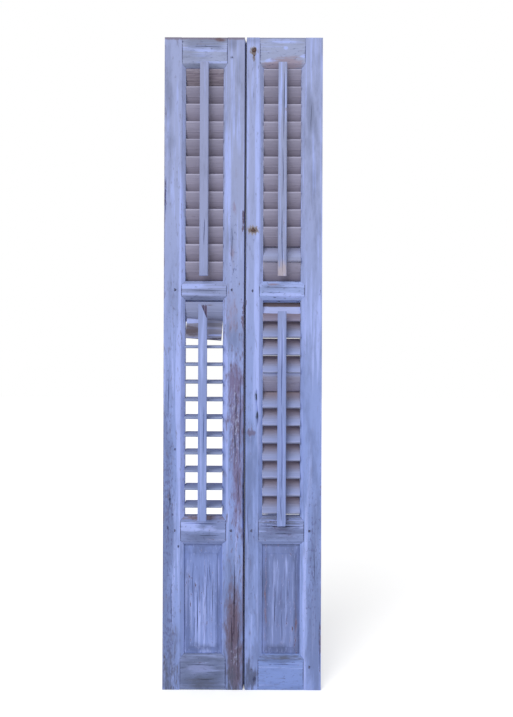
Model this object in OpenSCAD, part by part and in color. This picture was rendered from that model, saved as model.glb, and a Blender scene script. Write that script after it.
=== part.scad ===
// A pair of old louvred shutter leaves, closed, with the room side toward -Y.
// Each leaf has two banks of tilting slats above a fielded panel, and swings
// away from the room on three butt hinges let into its outer edge.
// The origin is at the bottom, midway between the outer edges and between
// the faces of the leaves.

/* [Leaves] */
// Thickness of the stiles and rails
leaf_t = 36; // [33:1:42]
// Clear width of every opening
opening_w = 128; // [100:1:180]
// Width of the stile that carries the hinges
hinge_stile_w = 71.5; // [64:0.5:90]
// Width of the left leaf's meeting stile, at the back
left_meeting_w = 74; // [64:0.5:90]
// Width of the right leaf's meeting stile, at the back
right_meeting_w = 60; // [56:0.5:90]
// Gap between the closed leaves, at the back
seam_gap = 1; // [0.8:0.1:3]
// How far each meeting edge slopes away toward the front
seam_bevel = 3.5; // [2:0.1:6]
// Width of the chamfer round each opening
chamfer_w = 13.5; // [9:0.5:15]
// Depth of the chamfer round each opening
chamfer_d = 9; // [5:0.5:10]

/* [Rails] */
// Height of the bottom rail
bottom_rail_h = 118; // [90:1:150]
// Height of the lock rail, between the panel and the lower slats
lock_rail_h = 95; // [70:1:120]
// Height of the middle rail, between the two banks of slats
middle_rail_h = 64; // [60:1:100]
// Height of the stop under the middle rail, at the back, for the top slat below it
stop_h = 6; // [3:0.5:6]
// Thickness of that stop
stop_t = 8; // [5:0.5:9]
// Height of the top rail
top_rail_h = 101; // [80:1:130]
// Thickness of the rails' tenons
tenon_t = 12; // [8:1:14]
// Length of the tenons inside the stiles
tenon_l = 30; // [20:1:34]
// Wood left above and below each tenon
tenon_shoulder = 20; // [16:1:26]
// Play of a tenon in its mortise, on each side
tenon_play = 0.2; // [0.1:0.1:0.5]

/* [Panels] */
// Height of the panel opening
panel_h = 370; // [250:1:500]
// Thickness of the panel's tongue
tongue_t = 8; // [6:0.5:9]
// Depth of the groove that holds the tongue
groove_d = 10; // [7:0.5:11]
// Play of the tongue in its groove, on each side
tongue_play = 0.2; // [0.1:0.1:0.5]
// How far the raised field stands in front of the tongue
field_rise = 8; // [5:0.5:10]
// Step round the raised field
field_step = 2; // [1:0.5:4]
// Bevel beside the raised field
field_side = 16; // [8:1:24]
// Bevel above the raised field
field_top = 30; // [15:1:45]
// Bevel below the raised field
field_bottom = 24; // [12:1:40]

/* [Slats] */
// Width of a slat
slat_w = 68; // [58:1:72]
// Thickness of a slat
slat_t = 8; // [6:0.5:9]
// How far neighbouring slats lap when they are shut
slat_lap = 8.6; // [5:0.2:10]
// Gap between a slat's end and the stile
slat_play = 0.6; // [0.5:0.1:2]
// Room between the end slats and the rails of an upper bank
upper_play = 0; // [0:0.5:12]
// Room between the end slats and the rails of a lower bank
lower_play = 5; // [0:0.5:12]
// Diameter of the pins at a slat's ends
pin_d = 9; // [6:0.5:10]
// Length of the pins
pin_l = 12; // [8:0.5:14]
// Clearance round a pin in its hole
pin_play = 0.5; // [0.4:0.1:1]
// Upward tilt of the front edges in the upper banks
upper_tilt = 71; // [60:1:73]
// Downward tilt of the front edges in the lower left bank
lower_left_tilt = 4; // [0:1:62]
// Downward tilt of the front edges in the lower right bank
lower_right_tilt = 58; // [45:1:59]
// Length that broke off the slat that fell from its pins
fallen_loss = 5; // [5:1:40]

/* [Tilt bars] */
// Width of a tilt bar
bar_w = 29; // [22:1:40]
// Thickness of a tilt bar
bar_t = 10; // [8:0.5:12]
// Length of a tilt bar
bar_l = 716; // [690:1:740]
// Worn corner along the bar's front edges
bar_arris = 2; // [1:0.5:3]
// How far the upper bars hang below the middle of their staples
upper_drop = 26; // [0:1:30]
// How far the lower left bar hangs below the middle of its staples
lower_left_drop = 8; // [0:1:12]
// How far the lower right bar stands above the middle of its staples
lower_right_rise = 3; // [0:1:30]
// Height of the splintered top of the lower left bar
splinter_h = 47; // [20:1:80]
// Width that is left at the splintered top
splinter_w = 8; // [4:1:14]
// Diameter of the staple wire
wire_d = 2; // [1.6:0.2:2.4]
// How far a slat's staple reaches beyond its front edge
staple_reach = 7; // [6.5:0.5:10]
// Distance between the two legs of a slat's staple
staple_w = 9; // [8:0.5:12]
// Distance between the two legs of a bar's staple
bar_staple_h = 6; // [5.5:0.5:7]
// Distance from a slat's staple to the back of the bar
bar_offset = 13; // [12:0.5:18]

/* [Hinges] */
// Height of the lowest hinge's middle
hinge_low_z = 530; // [200:5:700]
// Distance between hinges
hinge_pitch = 570; // [300:5:640]
// Length of a hinge along its pin
hinge_h = 90; // [70:1:120]
// Thickness of a hinge plate
plate_t = 2.5; // [2:0.1:3]
// Width of a hinge plate, from the pin to its front edge
plate_w = 36; // [30:1:37]
// Gap between the two folded plates
plate_gap = 1; // [0.6:0.1:1.6]
// Distance from the back of the leaf to the hinge pin
pin_back = 6; // [5:0.5:10]
// Diameter of the hinge pin
hinge_pin_d = 5; // [4:0.5:6]
// Clearance round the hinge pin in the swinging knuckle
hinge_play = 0.05; // [0.02:0.01:0.1]
// Outside diameter of the knuckles
knuckle_d = 9; // [8:0.5:10]
// Diameter of a screw hole in the frame's plate
screw_d = 5; // [4:0.5:6]
// Distance between the two screw holes
screw_pitch = 60; // [40:1:66]

/* [Hidden] */
$fn = 48;
// How far a cutter reaches past the faces that it cuts
over = 1;
slat_count = 12;
slat_pitch = slat_w - slat_lap;
slat_l = opening_w - 2 * slat_play;
fallen_l = slat_l - fallen_loss;
upper_gap = slat_w / 2 + upper_play;
lower_gap = slat_w / 2 + lower_play;
row_h = (slat_count - 1) * slat_pitch;
upper_bank_h = row_h + 2 * upper_gap;
lower_bank_h = row_h + 2 * lower_gap;

// Rails from the bottom up: bottom, lock, middle, top
rail_h = [bottom_rail_h, lock_rail_h, middle_rail_h, top_rail_h];
lock_z = bottom_rail_h + panel_h;
middle_z = lock_z + lock_rail_h + lower_bank_h;
top_z = middle_z + middle_rail_h + upper_bank_h;
rail_z = [0, lock_z, middle_z, top_z];
leaf_h = top_z + top_rail_h;

pair_w = 2 * hinge_stile_w + 2 * opening_w + left_meeting_w + right_meeting_w + seam_gap;
opening_x = pair_w / 2 - hinge_stile_w - opening_w / 2;
front_y = -leaf_t / 2;
back_y = leaf_t / 2;

// The panel's tongue lies just behind the chamfer
tongue_front = front_y + chamfer_d + 4;
tongue_back = tongue_front + tongue_t;
field_front = tongue_front - field_rise;

// Banks of slats: upper left, upper right, lower left, lower right
bank_names = ["upper_left", "upper_right", "lower_left", "lower_right"];
bank_side = [-1, 1, -1, 1];
bank_tilt = [upper_tilt, upper_tilt, -lower_left_tilt, -lower_right_tilt];
bank_first_z = [top_z - upper_gap, top_z - upper_gap, middle_z - lower_gap, middle_z - lower_gap];
bar_shift = [-upper_drop, -upper_drop, -lower_left_drop, lower_right_rise];
staple_r = slat_w / 2 + staple_reach;
bar_staple_back = wire_d + 0.5;

// Slats that are fixed to their leaf: bank, number from the top, tilt
stuck_up = 78;
stuck_slats = [
    [0, 1, upper_tilt], [0, 11, upper_tilt], [0, 12, upper_tilt],
    [1, 1, upper_tilt], [1, 11, -56], [1, 12, upper_tilt],
    [2, 1, stuck_up],
    [3, 1, -72], [3, 5, 75], [3, 12, -lower_right_tilt]
];
// The fallen slat: bank, number from the top, tilt, slope down to the right
fallen_slat = [2, 2, 90, 4];
// How far its middle lies in front of its pivots and below them
fallen_front = 4.4;
fallen_drop = 1;

hinge_z = [for (i = [0:2]) hinge_low_z + i * hinge_pitch];
gain_d = 2 * plate_t + plate_gap;
gain_room = 1;
knuckle_h = hinge_h / 3;
knuckle_gap = 0.3;
knuckle_room = 0.7;

wood = [0.60, 0.64, 0.82];
bare_wood = [0.50, 0.49, 0.59];
iron = [0.36, 0.34, 0.36];

function is_stuck(bank, number) =
    (bank == fallen_slat[0] && number == fallen_slat[1])
    || len([for (s = stuck_slats) if (s[0] == bank && s[1] == number) s]) > 0;
function two_digits(number) = number < 10 ? str("0", number) : str(number);
function slat_name(bank, number) = str(bank_names[bank], "_slat_", two_digits(number));
function slat_z(bank, number) = bank_first_z[bank] - (number - 1) * slat_pitch;
function slat_x(bank) = bank_side[bank] * opening_x;

free_slats = [
    for (bank = [0:3], number = [1:slat_count]) if (!is_stuck(bank, number)) [bank, number]
];
sides = ["left", "right"];
piece_names = [
    "hinge_stile", "meeting_stile", "top_rail", "middle_rail", "lock_rail", "bottom_rail",
    "panel", "hinge_halves", "stuck_slats"
];

// Places a leaf's piece, drawn with the meeting edge toward +X
module leaf_place(side) {
    translate([side == "left" ? -opening_x : opening_x, 0, 0])
        mirror([side == "left" ? 0 : 1, 0, 0])
            children();
}

// Extrudes an outline drawn in X and Z through the leaf's thickness
module upright() {
    rotate([90, 0, 0])
        linear_extrude(leaf_t, center = true)
            children();
}

// Where rail i meets a stile, measured from the opening's edge into the stile
function joint_points(i) = concat(
    i == 0 ? [[chamfer_w, 0]] : [[0, rail_z[i]], [chamfer_w, rail_z[i] + chamfer_w]],
    i == 3 ? [[chamfer_w, leaf_h]]
           : [[chamfer_w, rail_z[i] + rail_h[i] - chamfer_w], [0, rail_z[i] + rail_h[i]]]
);
function backwards(points) = [for (i = [len(points) - 1:-1:0]) points[i]];

// Section that a chamfer cuts away, with X running from the edge into the wood
module chamfer_section() {
    slope = chamfer_d / chamfer_w;
    polygon([
        [chamfer_w + over / slope, front_y - over],
        [-over, front_y + chamfer_d + over * slope],
        [-over, front_y - over]
    ]);
}

// Cutter for the chamfer along a rail's upper edge
module rail_chamfer() {
    rotate([0, 90, 0])
        linear_extrude(opening_w + 2 * chamfer_w, center = true)
            chamfer_section();
}

// Space for the panel's tongue, in the stiles and in the rails
module panel_groove() {
    depth = tongue_t + 2 * tongue_play;
    translate([-opening_w / 2 - groove_d, tongue_front - tongue_play, bottom_rail_h - groove_d])
        cube([opening_w + 2 * groove_d, depth, panel_h + 2 * groove_d]);
}

// A rail's tenon, or its mortise with play all round, from the shoulder outward
module tenon(i, play) {
    height = rail_h[i] - 2 * tenon_shoulder + 2 * play;
    translate([opening_w / 2 + chamfer_w - over, -tenon_t / 2 - play, rail_z[i] + tenon_shoulder - play])
        cube([tenon_l + over + play, tenon_t + 2 * play, height]);
}

// Holes for the slats' pins, down one stile
module pin_holes() {
    for (bank = [0, 2], number = [1:slat_count])
        translate([opening_w / 2 - over, 0, slat_z(bank, number)])
            rotate([0, 90, 0])
                cylinder(d = pin_d + 2 * pin_play, h = pin_l + slat_play + over);
}

// A stile on the +X side of the opening
module stile(width) {
    inner = [for (i = [0:3]) each joint_points(i)];
    difference() {
        translate([opening_w / 2, 0, 0])
            upright()
                polygon(concat(inner, [[width, leaf_h], [width, 0]]));
        translate([opening_w / 2, 0, -over])
            linear_extrude(leaf_h + 2 * over)
                chamfer_section();
        pin_holes();
        panel_groove();
        for (i = [0:3])
            tenon(i, tenon_play);
    }
}

// Stile on the outer side, with gains that take both plates of each hinge
module hinge_stile(side) {
    color(wood)
        leaf_place(side)
            mirror([1, 0, 0])
                difference() {
                    stile(hinge_stile_w);
                    for (z = hinge_z)
                        translate([
                            opening_w / 2 + hinge_stile_w - gain_d,
                            back_y + pin_back - plate_w - gain_room,
                            z - hinge_h / 2 - gain_room
                        ])
                            cube([gain_d + over, leaf_t, hinge_h + 2 * gain_room]);
                }
}

// Stile beside the seam, with a sloping edge so that either leaf can swing first
module meeting_stile(side) {
    width = side == "left" ? left_meeting_w : right_meeting_w;
    slope = seam_bevel / leaf_t;
    color(wood)
        leaf_place(side)
            difference() {
                stile(width);
                translate([opening_w / 2 + width, 0, -over])
                    linear_extrude(leaf_h + 2 * over)
                        polygon([
                            [over * slope, back_y + over],
                            [-seam_bevel - over * slope, front_y - over],
                            [over, front_y - over]
                        ]);
            }
}

// Rail i with a tenon at each end
module rail(side, i) {
    right = [for (p = joint_points(i)) [opening_w / 2 + p[0], p[1]]];
    left = [for (p = joint_points(i)) [-opening_w / 2 - p[0], p[1]]];
    color(wood)
        leaf_place(side) {
            difference() {
                upright()
                    polygon(concat(right, backwards(left)));
                if (i < 3)
                    translate([0, 0, rail_z[i] + rail_h[i]])
                        rail_chamfer();
                if (i > 0)
                    translate([0, 0, rail_z[i]])
                        mirror([0, 0, 1])
                            rail_chamfer();
                panel_groove();
            }
            tenon(i, 0);
            mirror([1, 0, 0])
                tenon(i, 0);
            if (i == 2)
                slat_stop();
        }
}

// Stop along the back of the middle rail's lower edge
module slat_stop() {
    translate([-opening_w / 2 + slat_play, back_y - stop_t, middle_z - stop_h])
        cube([slat_l, stop_t, stop_h + over]);
}

// Section of the raised field across a width, with a bevel at each end
module field_section(width, low_bevel, high_bevel) {
    shoulder = field_front + field_step;
    polygon([
        [0, tongue_back], [0, tongue_front],
        [low_bevel, shoulder], [low_bevel, field_front],
        [width - high_bevel, field_front], [width - high_bevel, shoulder],
        [width, tongue_front], [width, tongue_back]
    ]);
}

// Panel with a tongue all round and a raised field on the room side
module panel(side) {
    reach = groove_d - tongue_play;
    color(wood)
        leaf_place(side) {
            translate([-opening_w / 2 - reach, tongue_front, bottom_rail_h - reach])
                cube([opening_w + 2 * reach, tongue_t, panel_h + 2 * reach]);
            intersection() {
                translate([-opening_w / 2, 0, bottom_rail_h])
                    linear_extrude(panel_h)
                        field_section(opening_w, field_side, field_side);
                translate([0, 0, lock_z])
                    rotate([0, 90, 0])
                        linear_extrude(opening_w, center = true)
                            field_section(panel_h, field_top, field_bottom);
            }
        }
}

// A slat's board, level, with round edges
module slat_board(length) {
    core_w = slat_w - slat_t;
    rotate([0, 90, 0])
        linear_extrude(length, center = true) {
            square([slat_t, core_w], center = true);
            for (end = [-1, 1])
                translate([0, end * core_w / 2])
                    circle(d = slat_t);
        }
}

// A slat on its two pins, level
module slat() {
    slat_board(slat_l);
    rotate([0, 90, 0])
        cylinder(d = pin_d, h = slat_l + 2 * pin_l, center = true);
}

// Wire staple in a slat's front edge
module slat_staple() {
    leg = staple_reach + slat_t;
    for (end = [-1, 1])
        translate([end * staple_w / 2, -staple_r, 0])
            rotate([-90, 0, 0])
                cylinder(d = wire_d, h = leg, $fn = 16);
    translate([0, -staple_r, 0])
        rotate([0, 90, 0])
            cylinder(d = wire_d, h = staple_w + wire_d, center = true, $fn = 16);
}

// A slat that still follows its tilt bar
module free_slat(bank, number) {
    color(bank < 2 ? bare_wood : wood)
        translate([slat_x(bank), 0, slat_z(bank, number)])
            rotate([-bank_tilt[bank], 0, 0]) {
                slat();
                slat_staple();
            }
}

// One leaf's slats that have lost their staples, and the one that fell
module stuck_slats(side) {
    side_sign = side == "left" ? -1 : 1;
    color(bare_wood) {
        for (s = stuck_slats)
            if (bank_side[s[0]] == side_sign)
                translate([slat_x(s[0]), 0, slat_z(s[0], s[1])])
                    rotate([-s[2], 0, 0])
                        slat();
        if (bank_side[fallen_slat[0]] == side_sign)
            translate([
                slat_x(fallen_slat[0]), -fallen_front,
                slat_z(fallen_slat[0], fallen_slat[1]) - fallen_drop
            ])
                rotate([0, fallen_slat[3], 0])
                    rotate([-fallen_slat[2], 0, 0])
                        slat_board(fallen_l);
    }
}

// Section of a tilt bar, with its back at Y = 0
module bar_section() {
    half = bar_w / 2;
    polygon([
        [-half, 0], [half, 0],
        [half, bar_arris - bar_t], [half - bar_arris, -bar_t],
        [bar_arris - half, -bar_t], [-half, bar_arris - bar_t]
    ]);
}

// Wire staple in the back of a tilt bar, round the slat's staple at the origin
module bar_staple() {
    leg = bar_offset + bar_t / 2 + bar_staple_back;
    for (end = [-1, 1])
        translate([0, bar_staple_back, end * bar_staple_h / 2])
            rotate([90, 0, 0])
                cylinder(d = wire_d, h = leg, $fn = 16);
    translate([0, bar_staple_back, 0])
        cylinder(d = wire_d, h = bar_staple_h + wire_d, center = true, $fn = 16);
}

// A bank's tilt bar, with a staple for each slat that follows it
module tilt_bar(bank) {
    tilt = bank_tilt[bank];
    staple_y = -staple_r * cos(tilt);
    staple_lift = staple_r * sin(tilt);
    middle = slat_z(bank, (slat_count + 1) / 2) + staple_lift + bar_shift[bank];
    color(wood)
        translate([slat_x(bank), 0, 0]) {
            difference() {
                translate([0, staple_y - bar_offset, middle - bar_l / 2])
                    linear_extrude(bar_l)
                        bar_section();
                if (bank == 2)
                    translate([0, staple_y - bar_offset, middle + bar_l / 2])
                        splinter();
            }
            for (number = [1:slat_count])
                if (!is_stuck(bank, number))
                    translate([0, staple_y, slat_z(bank, number) + staple_lift])
                        bar_staple();
        }
}

// Wood that has split away from the top of the lower left bar
module splinter() {
    half = bar_w / 2;
    rotate([90, 0, 0])
        linear_extrude(3 * bar_t, center = true)
            polygon([
                [splinter_w - half, over], [splinter_w - half, 0],
                [half - over, -splinter_h], [half + over, -splinter_h], [half + over, over]
            ]);
}

// Places a hinge, drawn with its pin on Z and the leaf toward -X
module hinge_place(side, z) {
    leaf_place(side)
        mirror([1, 0, 0])
            translate([opening_w / 2 + hinge_stile_w - gain_d / 2, back_y + pin_back, z])
                children();
}

// A hinge's plate, whose near face is half the gap from the pin's plane
module hinge_plate() {
    translate([plate_gap / 2, -plate_w, -hinge_h / 2])
        cube([plate_t, plate_w - knuckle_d / 2 - knuckle_room, hinge_h]);
}

// A knuckle and the neck that joins it to its plate
module knuckle(z, height) {
    neck = knuckle_d / 2 + knuckle_room + over;
    translate([0, 0, z])
        cylinder(d = knuckle_d, h = height);
    translate([plate_gap / 2, -neck, z])
        cube([plate_t, neck, height]);
}

// The hinge halves that are screwed to the window frame, with the pins
module frame_hinge_halves() {
    color(iron)
        for (side = sides, z = hinge_z)
            hinge_place(side, z) {
                difference() {
                    hinge_plate();
                    for (end = [-1, 1])
                        translate([0, -plate_w / 2, end * screw_pitch / 2])
                            rotate([0, 90, 0])
                                cylinder(d = screw_d, h = gain_d);
                }
                knuckle(-hinge_h / 2, knuckle_h);
                knuckle(hinge_h / 2 - knuckle_h, knuckle_h);
                cylinder(d = hinge_pin_d, h = hinge_h, center = true);
            }
}

// The hinge halves that swing with a leaf
module hinge_halves(side) {
    middle_h = knuckle_h - 2 * knuckle_gap;
    color(iron)
        for (z = hinge_z)
            hinge_place(side, z)
                mirror([1, 0, 0])
                    difference() {
                        union() {
                            hinge_plate();
                            knuckle(-middle_h / 2, middle_h);
                        }
                        cylinder(d = hinge_pin_d + 2 * hinge_play, h = hinge_h, center = true);
                    }
}

frame_hinge_halves();
for (side = sides) {
    hinge_stile(side);
    meeting_stile(side);
    rail(side, 3);
    rail(side, 2);
    rail(side, 1);
    rail(side, 0);
    panel(side);
    hinge_halves(side);
    stuck_slats(side);
}
for (bank = [0:3])
    tilt_bar(bank);
for (s = free_slats)
    free_slat(s[0], s[1]);
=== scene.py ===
"""Window shutter: a closed pair of old louvred leaves in worn blue oil paint."""
import math

import bpy
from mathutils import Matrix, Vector


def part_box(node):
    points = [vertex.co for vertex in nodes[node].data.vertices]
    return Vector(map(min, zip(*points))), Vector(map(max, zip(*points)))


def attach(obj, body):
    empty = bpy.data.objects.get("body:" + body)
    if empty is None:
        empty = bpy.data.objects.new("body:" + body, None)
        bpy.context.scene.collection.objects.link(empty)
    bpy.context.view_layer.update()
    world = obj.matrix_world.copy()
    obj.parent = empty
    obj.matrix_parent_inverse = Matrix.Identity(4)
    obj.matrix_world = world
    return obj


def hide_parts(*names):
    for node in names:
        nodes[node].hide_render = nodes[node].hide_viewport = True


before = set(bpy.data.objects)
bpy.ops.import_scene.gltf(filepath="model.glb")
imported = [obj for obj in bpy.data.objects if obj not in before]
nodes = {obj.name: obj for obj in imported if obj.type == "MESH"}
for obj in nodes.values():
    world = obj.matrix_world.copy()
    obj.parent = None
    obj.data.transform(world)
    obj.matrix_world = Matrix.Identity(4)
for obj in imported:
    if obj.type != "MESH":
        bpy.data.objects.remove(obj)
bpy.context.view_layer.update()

MM = 0.001

# The leaves, in millimetres: front of the frames, sides of the openings, middle of the seam
FRONT_Y = -18
OPENING_OUT, OPENING_IN = 195.5, 67.5
SEAM_X = 7

# Slats: width, pitch and the pivot of each bank's first slat, in millimetres
SLAT_W, SLAT_PITCH = 68, 59.4
UPPER_FIRST_Z, LOWER_FIRST_Z = 2065.8, 1275.4
FALLEN_SLAT_Z = 1212
# Tilt of the banks, and of the slats that stand on their own, in degrees with the front edge up
UPPER_TILT, LOWER_LEFT_TILT, LOWER_RIGHT_TILT = 71, -4, -58
UPPER_RIGHT_11_TILT, LOWER_LEFT_1_TILT = -56, 78
LOWER_RIGHT_1_TILT, LOWER_RIGHT_5_TILT = -72, 75

# Colours of the paint, of the dirt on it, and of the darker line along the outer edges
PAINT_HIGH, PAINT_LOW = "#98a2cc", "#8799d2"
CHALK, NICK = "#a9b8f4", "#5d6390"
SHOULDER_DIRT, FOOT_DIRT, OUTER_EDGE_DARK = "#474c70", "#52586e", "#6f6d88"
TOP_DIRT_LEFT, TOP_DIRT_RIGHT = "#7a7386", "#8387a4"
# Share of the paint's light that grime and painted shade leave
GRIME_AND_SHADE_SHARE = 0.62

# Colours along the values of a pattern
PINE = [(0.32, "#453f58"), (0.5, "#655b76"), (0.68, "#8d86a2")]
PINE_BROWN = "#5f5366"
SLAT_PINE = [(0.3, "#5b5362"), (0.5, "#807687"), (0.7, "#9b929c")]
RUST = [(0.35, "#3d3437"), (0.52, "#5a4745"), (0.68, "#7c5a4c")]
OAK_END = [(0.35, "#3f4058"), (0.52, "#575b78"), (0.7, "#757b9c")]

# Patterns: size across and along the grain, or one size where there is no grain, in millimetres
STREAK, BLOTCH, FLAKE, FIBRE = (11, 260), (30, 130), (7, 34), (3.5, 80)
NICK_GRAIN, PANEL_NICK_GRAIN = (6, 15), (4, 70)
SLAT_WOBBLE, SLAT_FIBRE, SLAT_FLAKE = (30, 60), (4, 80), (6, 30)
RUST_BLOTCH, RUST_CRUST, OAK_PORE = 6, 1.5, 1.8

# Heights in metres at which the paint has its high and its low colour
PAINT_FADE = (1.85, 0.75)
# Layers of the paint: the value where each starts, the value where it is full, and its greatest share
CHALK_COVER, GRIME_AND_SHADE_COVER, NICK_COVER = (0.50, 0.76, 0.8), (0.46, 0.84, 0.9), (0.67, 0.79, 0.75)
BROWN_COVER, LIFTED_COVER, GONE_COVER = (0.48, 0.66, 0.7), (0.50, 0.57, 0.4), (0.57, 0.64)
BARE_COVER, SHOULDER_COVER, SCAR_COVER = (0.55, 0.90, 0.9), (0.55, 0.85, 0.85), (0.75, 0.98)
SLAT_GONE_COVER = (0.56, 0.68, 0.7)
# How strongly the flakes tell in the paint's hold, and how much holds them down
FLAKE_GAIN, FLAKE_HOLD = 1.5, 0.25
# How far a patch reaches behind the front, and a shoulder line's half width, in millimetres
PATCH_DEPTH, SHOULDER_LINE_W = 40, 3.2
SHOULDER_LINE_STRENGTH = 0.5
# A slat's worn edge wanders by this share of its width, and its streaks are this much darker and lighter
EDGE_WOBBLE = 0.10
STREAK_DARK, STREAK_LIGHT = 0.92, 1.07

# Relief: its strength, its depth in millimetres, and the shares of fibres, bare wood and nicks in it
BUMP_STRENGTH, BUMP_DEPTH = 0.7, 1.2
FIBRE_RELIEF, BARE_RELIEF, NICK_RELIEF, SLAT_BARE_RELIEF = 0.35, -0.6, -0.4, -0.4
# Roughness from the smoothest to the roughest place, and gloss
PAINT_ROUGH, SLAT_ROUGH, RUST_ROUGH, OAK_ROUGH = (0.62, 0.9), (0.65, 0.9), (0.6, 0.95), (0.75, 0.95)
PAINT_GLOSS, SLAT_GLOSS, RUST_GLOSS, OAK_GLOSS = 0.25, 0.2, 0.4, 0.2


def linear(code):
    """An sRGB hex colour as the linear colour that sockets take."""
    parts = [int(code[i:i + 2], 16) / 255 for i in (1, 3, 5)]
    return [p / 12.92 if p <= 0.04045 else ((p + 0.055) / 1.055) ** 2.4 for p in parts] + [1.0]


def add(tree, kind, inputs, out=0, stops=(), **settings):
    """Adds a node with its settings, values and links, and returns one of its outputs."""
    node = tree.nodes.new("ShaderNode" + kind)
    for name, value in settings.items():
        setattr(node, name, value)
    for number, (at, code) in enumerate(stops):
        ramp = node.color_ramp.elements
        stop = ramp[number] if number < 2 else ramp.new(at)
        stop.position = at
        stop.color = linear(code)
    for key, value in inputs.items():
        if isinstance(value, bpy.types.NodeSocket):
            tree.links.new(value, node.inputs[key])
        else:
            node.inputs[key].default_value = value
    return None if out is None else node.outputs[out]


def new_material(name):
    """An empty material with its node tree and Object coordinates."""
    material = bpy.data.materials.new(name)
    material.use_nodes = True
    tree = material.node_tree
    tree.nodes.clear()
    place = add(tree, "TexCoord", {}, out="Object")
    return material, tree, place


def finish_material(tree, colour, roughness, height, gloss):
    """The surface shader, with its colour, roughness and relief."""
    normal = add(tree, "Bump", {"Strength": BUMP_STRENGTH, "Distance": BUMP_DEPTH * MM, "Height": height})
    surface = add(tree, "BsdfPrincipled", {
        "Base Color": colour, "Roughness": roughness, "Specular IOR Level": gloss, "Normal": normal})
    add(tree, "OutputMaterial", {"Surface": surface}, out=None)


def grain_noise(tree, place, grain, across, along, detail=3.0, roughness=0.55):
    """Noise drawn out along the grain; across and along are its sizes in millimetres."""
    wide, far = 1 / (across * MM), 1 / (along * MM)
    scale = (far, wide, wide) if grain == "X" else (wide, wide, far)
    stretched = add(tree, "Mapping", {"Vector": place, "Scale": scale})
    return add(tree, "TexNoise", {
        "Vector": stretched, "Scale": 1.0, "Detail": detail, "Roughness": roughness})


def cover(tree, under, over, value, low, high, most=1.0):
    """Lays a colour over another where a value rises from low to high. Gives the colour and its share."""
    share = add(tree, "MapRange", {"Value": value, "From Min": low, "From Max": high, "To Max": most},
                interpolation_type="SMOOTHSTEP")
    return add(tree, "Mix", {0: share, 6: under, 7: over}, out=2, data_type="RGBA"), share


def with_patches(tree, place, value, zones):
    """A value raised in each zone: x, z, half width and half height in millimetres, and by how much."""
    for x, z, half_w, half_h, strength in zones:
        near = add(tree, "Mapping", {
            "Vector": place, "Location": (x * MM, FRONT_Y * MM, z * MM),
            "Scale": (half_w * MM, PATCH_DEPTH * MM, half_h * MM)}, vector_type="TEXTURE")
        inside = add(tree, "TexGradient", {"Vector": near}, out="Fac", gradient_type="SPHERICAL")
        value = add(tree, "Math", {0: inside, 1: strength, 2: value}, operation="MULTIPLY_ADD")
    return value


def oil_paint_on_pine(name, grain, high=PAINT_HIGH, low=PAINT_LOW, peel=-0.25, wear=(), grime_and_shade=(), chalk=(),
                      nicks=(), nick_size=NICK_GRAIN, scars=(), bare=(), shoulders=()):
    """Brushed oil paint, gone chalky and flaking along the grain, with grey-brown pine under it.

    It gives the eye a dull blue skin with pale and grubby streaks, and dark wood in drawn-out flakes.
    The flakes and streaks are some millimetres wide, as coarse as one pixel needs to show them.
    wear, grime, chalk and nicks are zones, and scars and bare are colours with their zones. The grime zones
    darken the paint for real grime and also as painted shade on chamfers and recesses. shoulders are the
    dirty lines where
    a rail meets its stiles: x, z and half height.
    """
    material, tree, place = new_material(name)
    height_z = add(tree, "SeparateXYZ", {0: place}, out="Z")
    streak = grain_noise(tree, place, grain, *STREAK)
    blotch = grain_noise(tree, place, grain, *BLOTCH, detail=6.0, roughness=0.62)
    flake = grain_noise(tree, place, grain, *FLAKE, detail=6.0, roughness=0.66)
    fibre = grain_noise(tree, place, grain, *FIBRE)
    nick = grain_noise(tree, place, grain, *nick_size, detail=4.0, roughness=0.6)

    coat, _ = cover(tree, linear(high), linear(low), height_z, *PAINT_FADE)
    coat, _ = cover(tree, coat, linear(CHALK), with_patches(tree, place, streak, chalk), *CHALK_COVER)
    # The grime zones darken the paint for real grime and also as painted shade on chamfers and recesses that
    # face away from the light
    dirty_and_shaded = add(tree, "VectorMath", {0: coat, "Scale": GRIME_AND_SHADE_SHARE}, operation="SCALE")
    coat, _ = cover(tree, coat, dirty_and_shaded, with_patches(tree, place, blotch, grime_and_shade), *GRIME_AND_SHADE_COVER)
    coat, nicked = cover(tree, coat, linear(NICK), with_patches(tree, place, nick, nicks), *NICK_COVER)

    wood = add(tree, "ValToRGB", {0: fibre}, stops=PINE)
    wood, _ = cover(tree, wood, linear(PINE_BROWN), blotch, *BROWN_COVER)
    loose = add(tree, "Math", {0: flake, 1: FLAKE_GAIN, 2: peel - FLAKE_HOLD}, operation="MULTIPLY_ADD")
    loose = with_patches(tree, place, loose, wear)
    lifted, _ = cover(tree, coat, linear(CHALK), loose, *LIFTED_COVER)
    colour, gone = cover(tree, lifted, wood, loose, *GONE_COVER)
    for code, zones in bare:
        colour, _ = cover(tree, colour, linear(code), with_patches(tree, place, flake, zones), *BARE_COVER)
    for x, z, half_h in shoulders:
        line = with_patches(tree, place, nick, [(x, z, SHOULDER_LINE_W, half_h, SHOULDER_LINE_STRENGTH)])
        colour, _ = cover(tree, colour, linear(SHOULDER_DIRT), line, *SHOULDER_COVER)
    for code, zones in scars:
        colour, _ = cover(tree, colour, linear(code), with_patches(tree, place, nick, zones), *SCAR_COVER)

    relief = add(tree, "Math", {0: fibre, 1: FIBRE_RELIEF}, operation="MULTIPLY")
    relief = add(tree, "Math", {0: gone, 1: BARE_RELIEF, 2: relief}, operation="MULTIPLY_ADD")
    relief = add(tree, "Math", {0: nicked, 1: NICK_RELIEF, 2: relief}, operation="MULTIPLY_ADD")
    rough = add(tree, "MapRange", {"Value": gone, "To Min": PAINT_ROUGH[0], "To Max": PAINT_ROUGH[1]})
    finish_material(tree, colour, rough, relief, PAINT_GLOSS)
    return material


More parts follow.
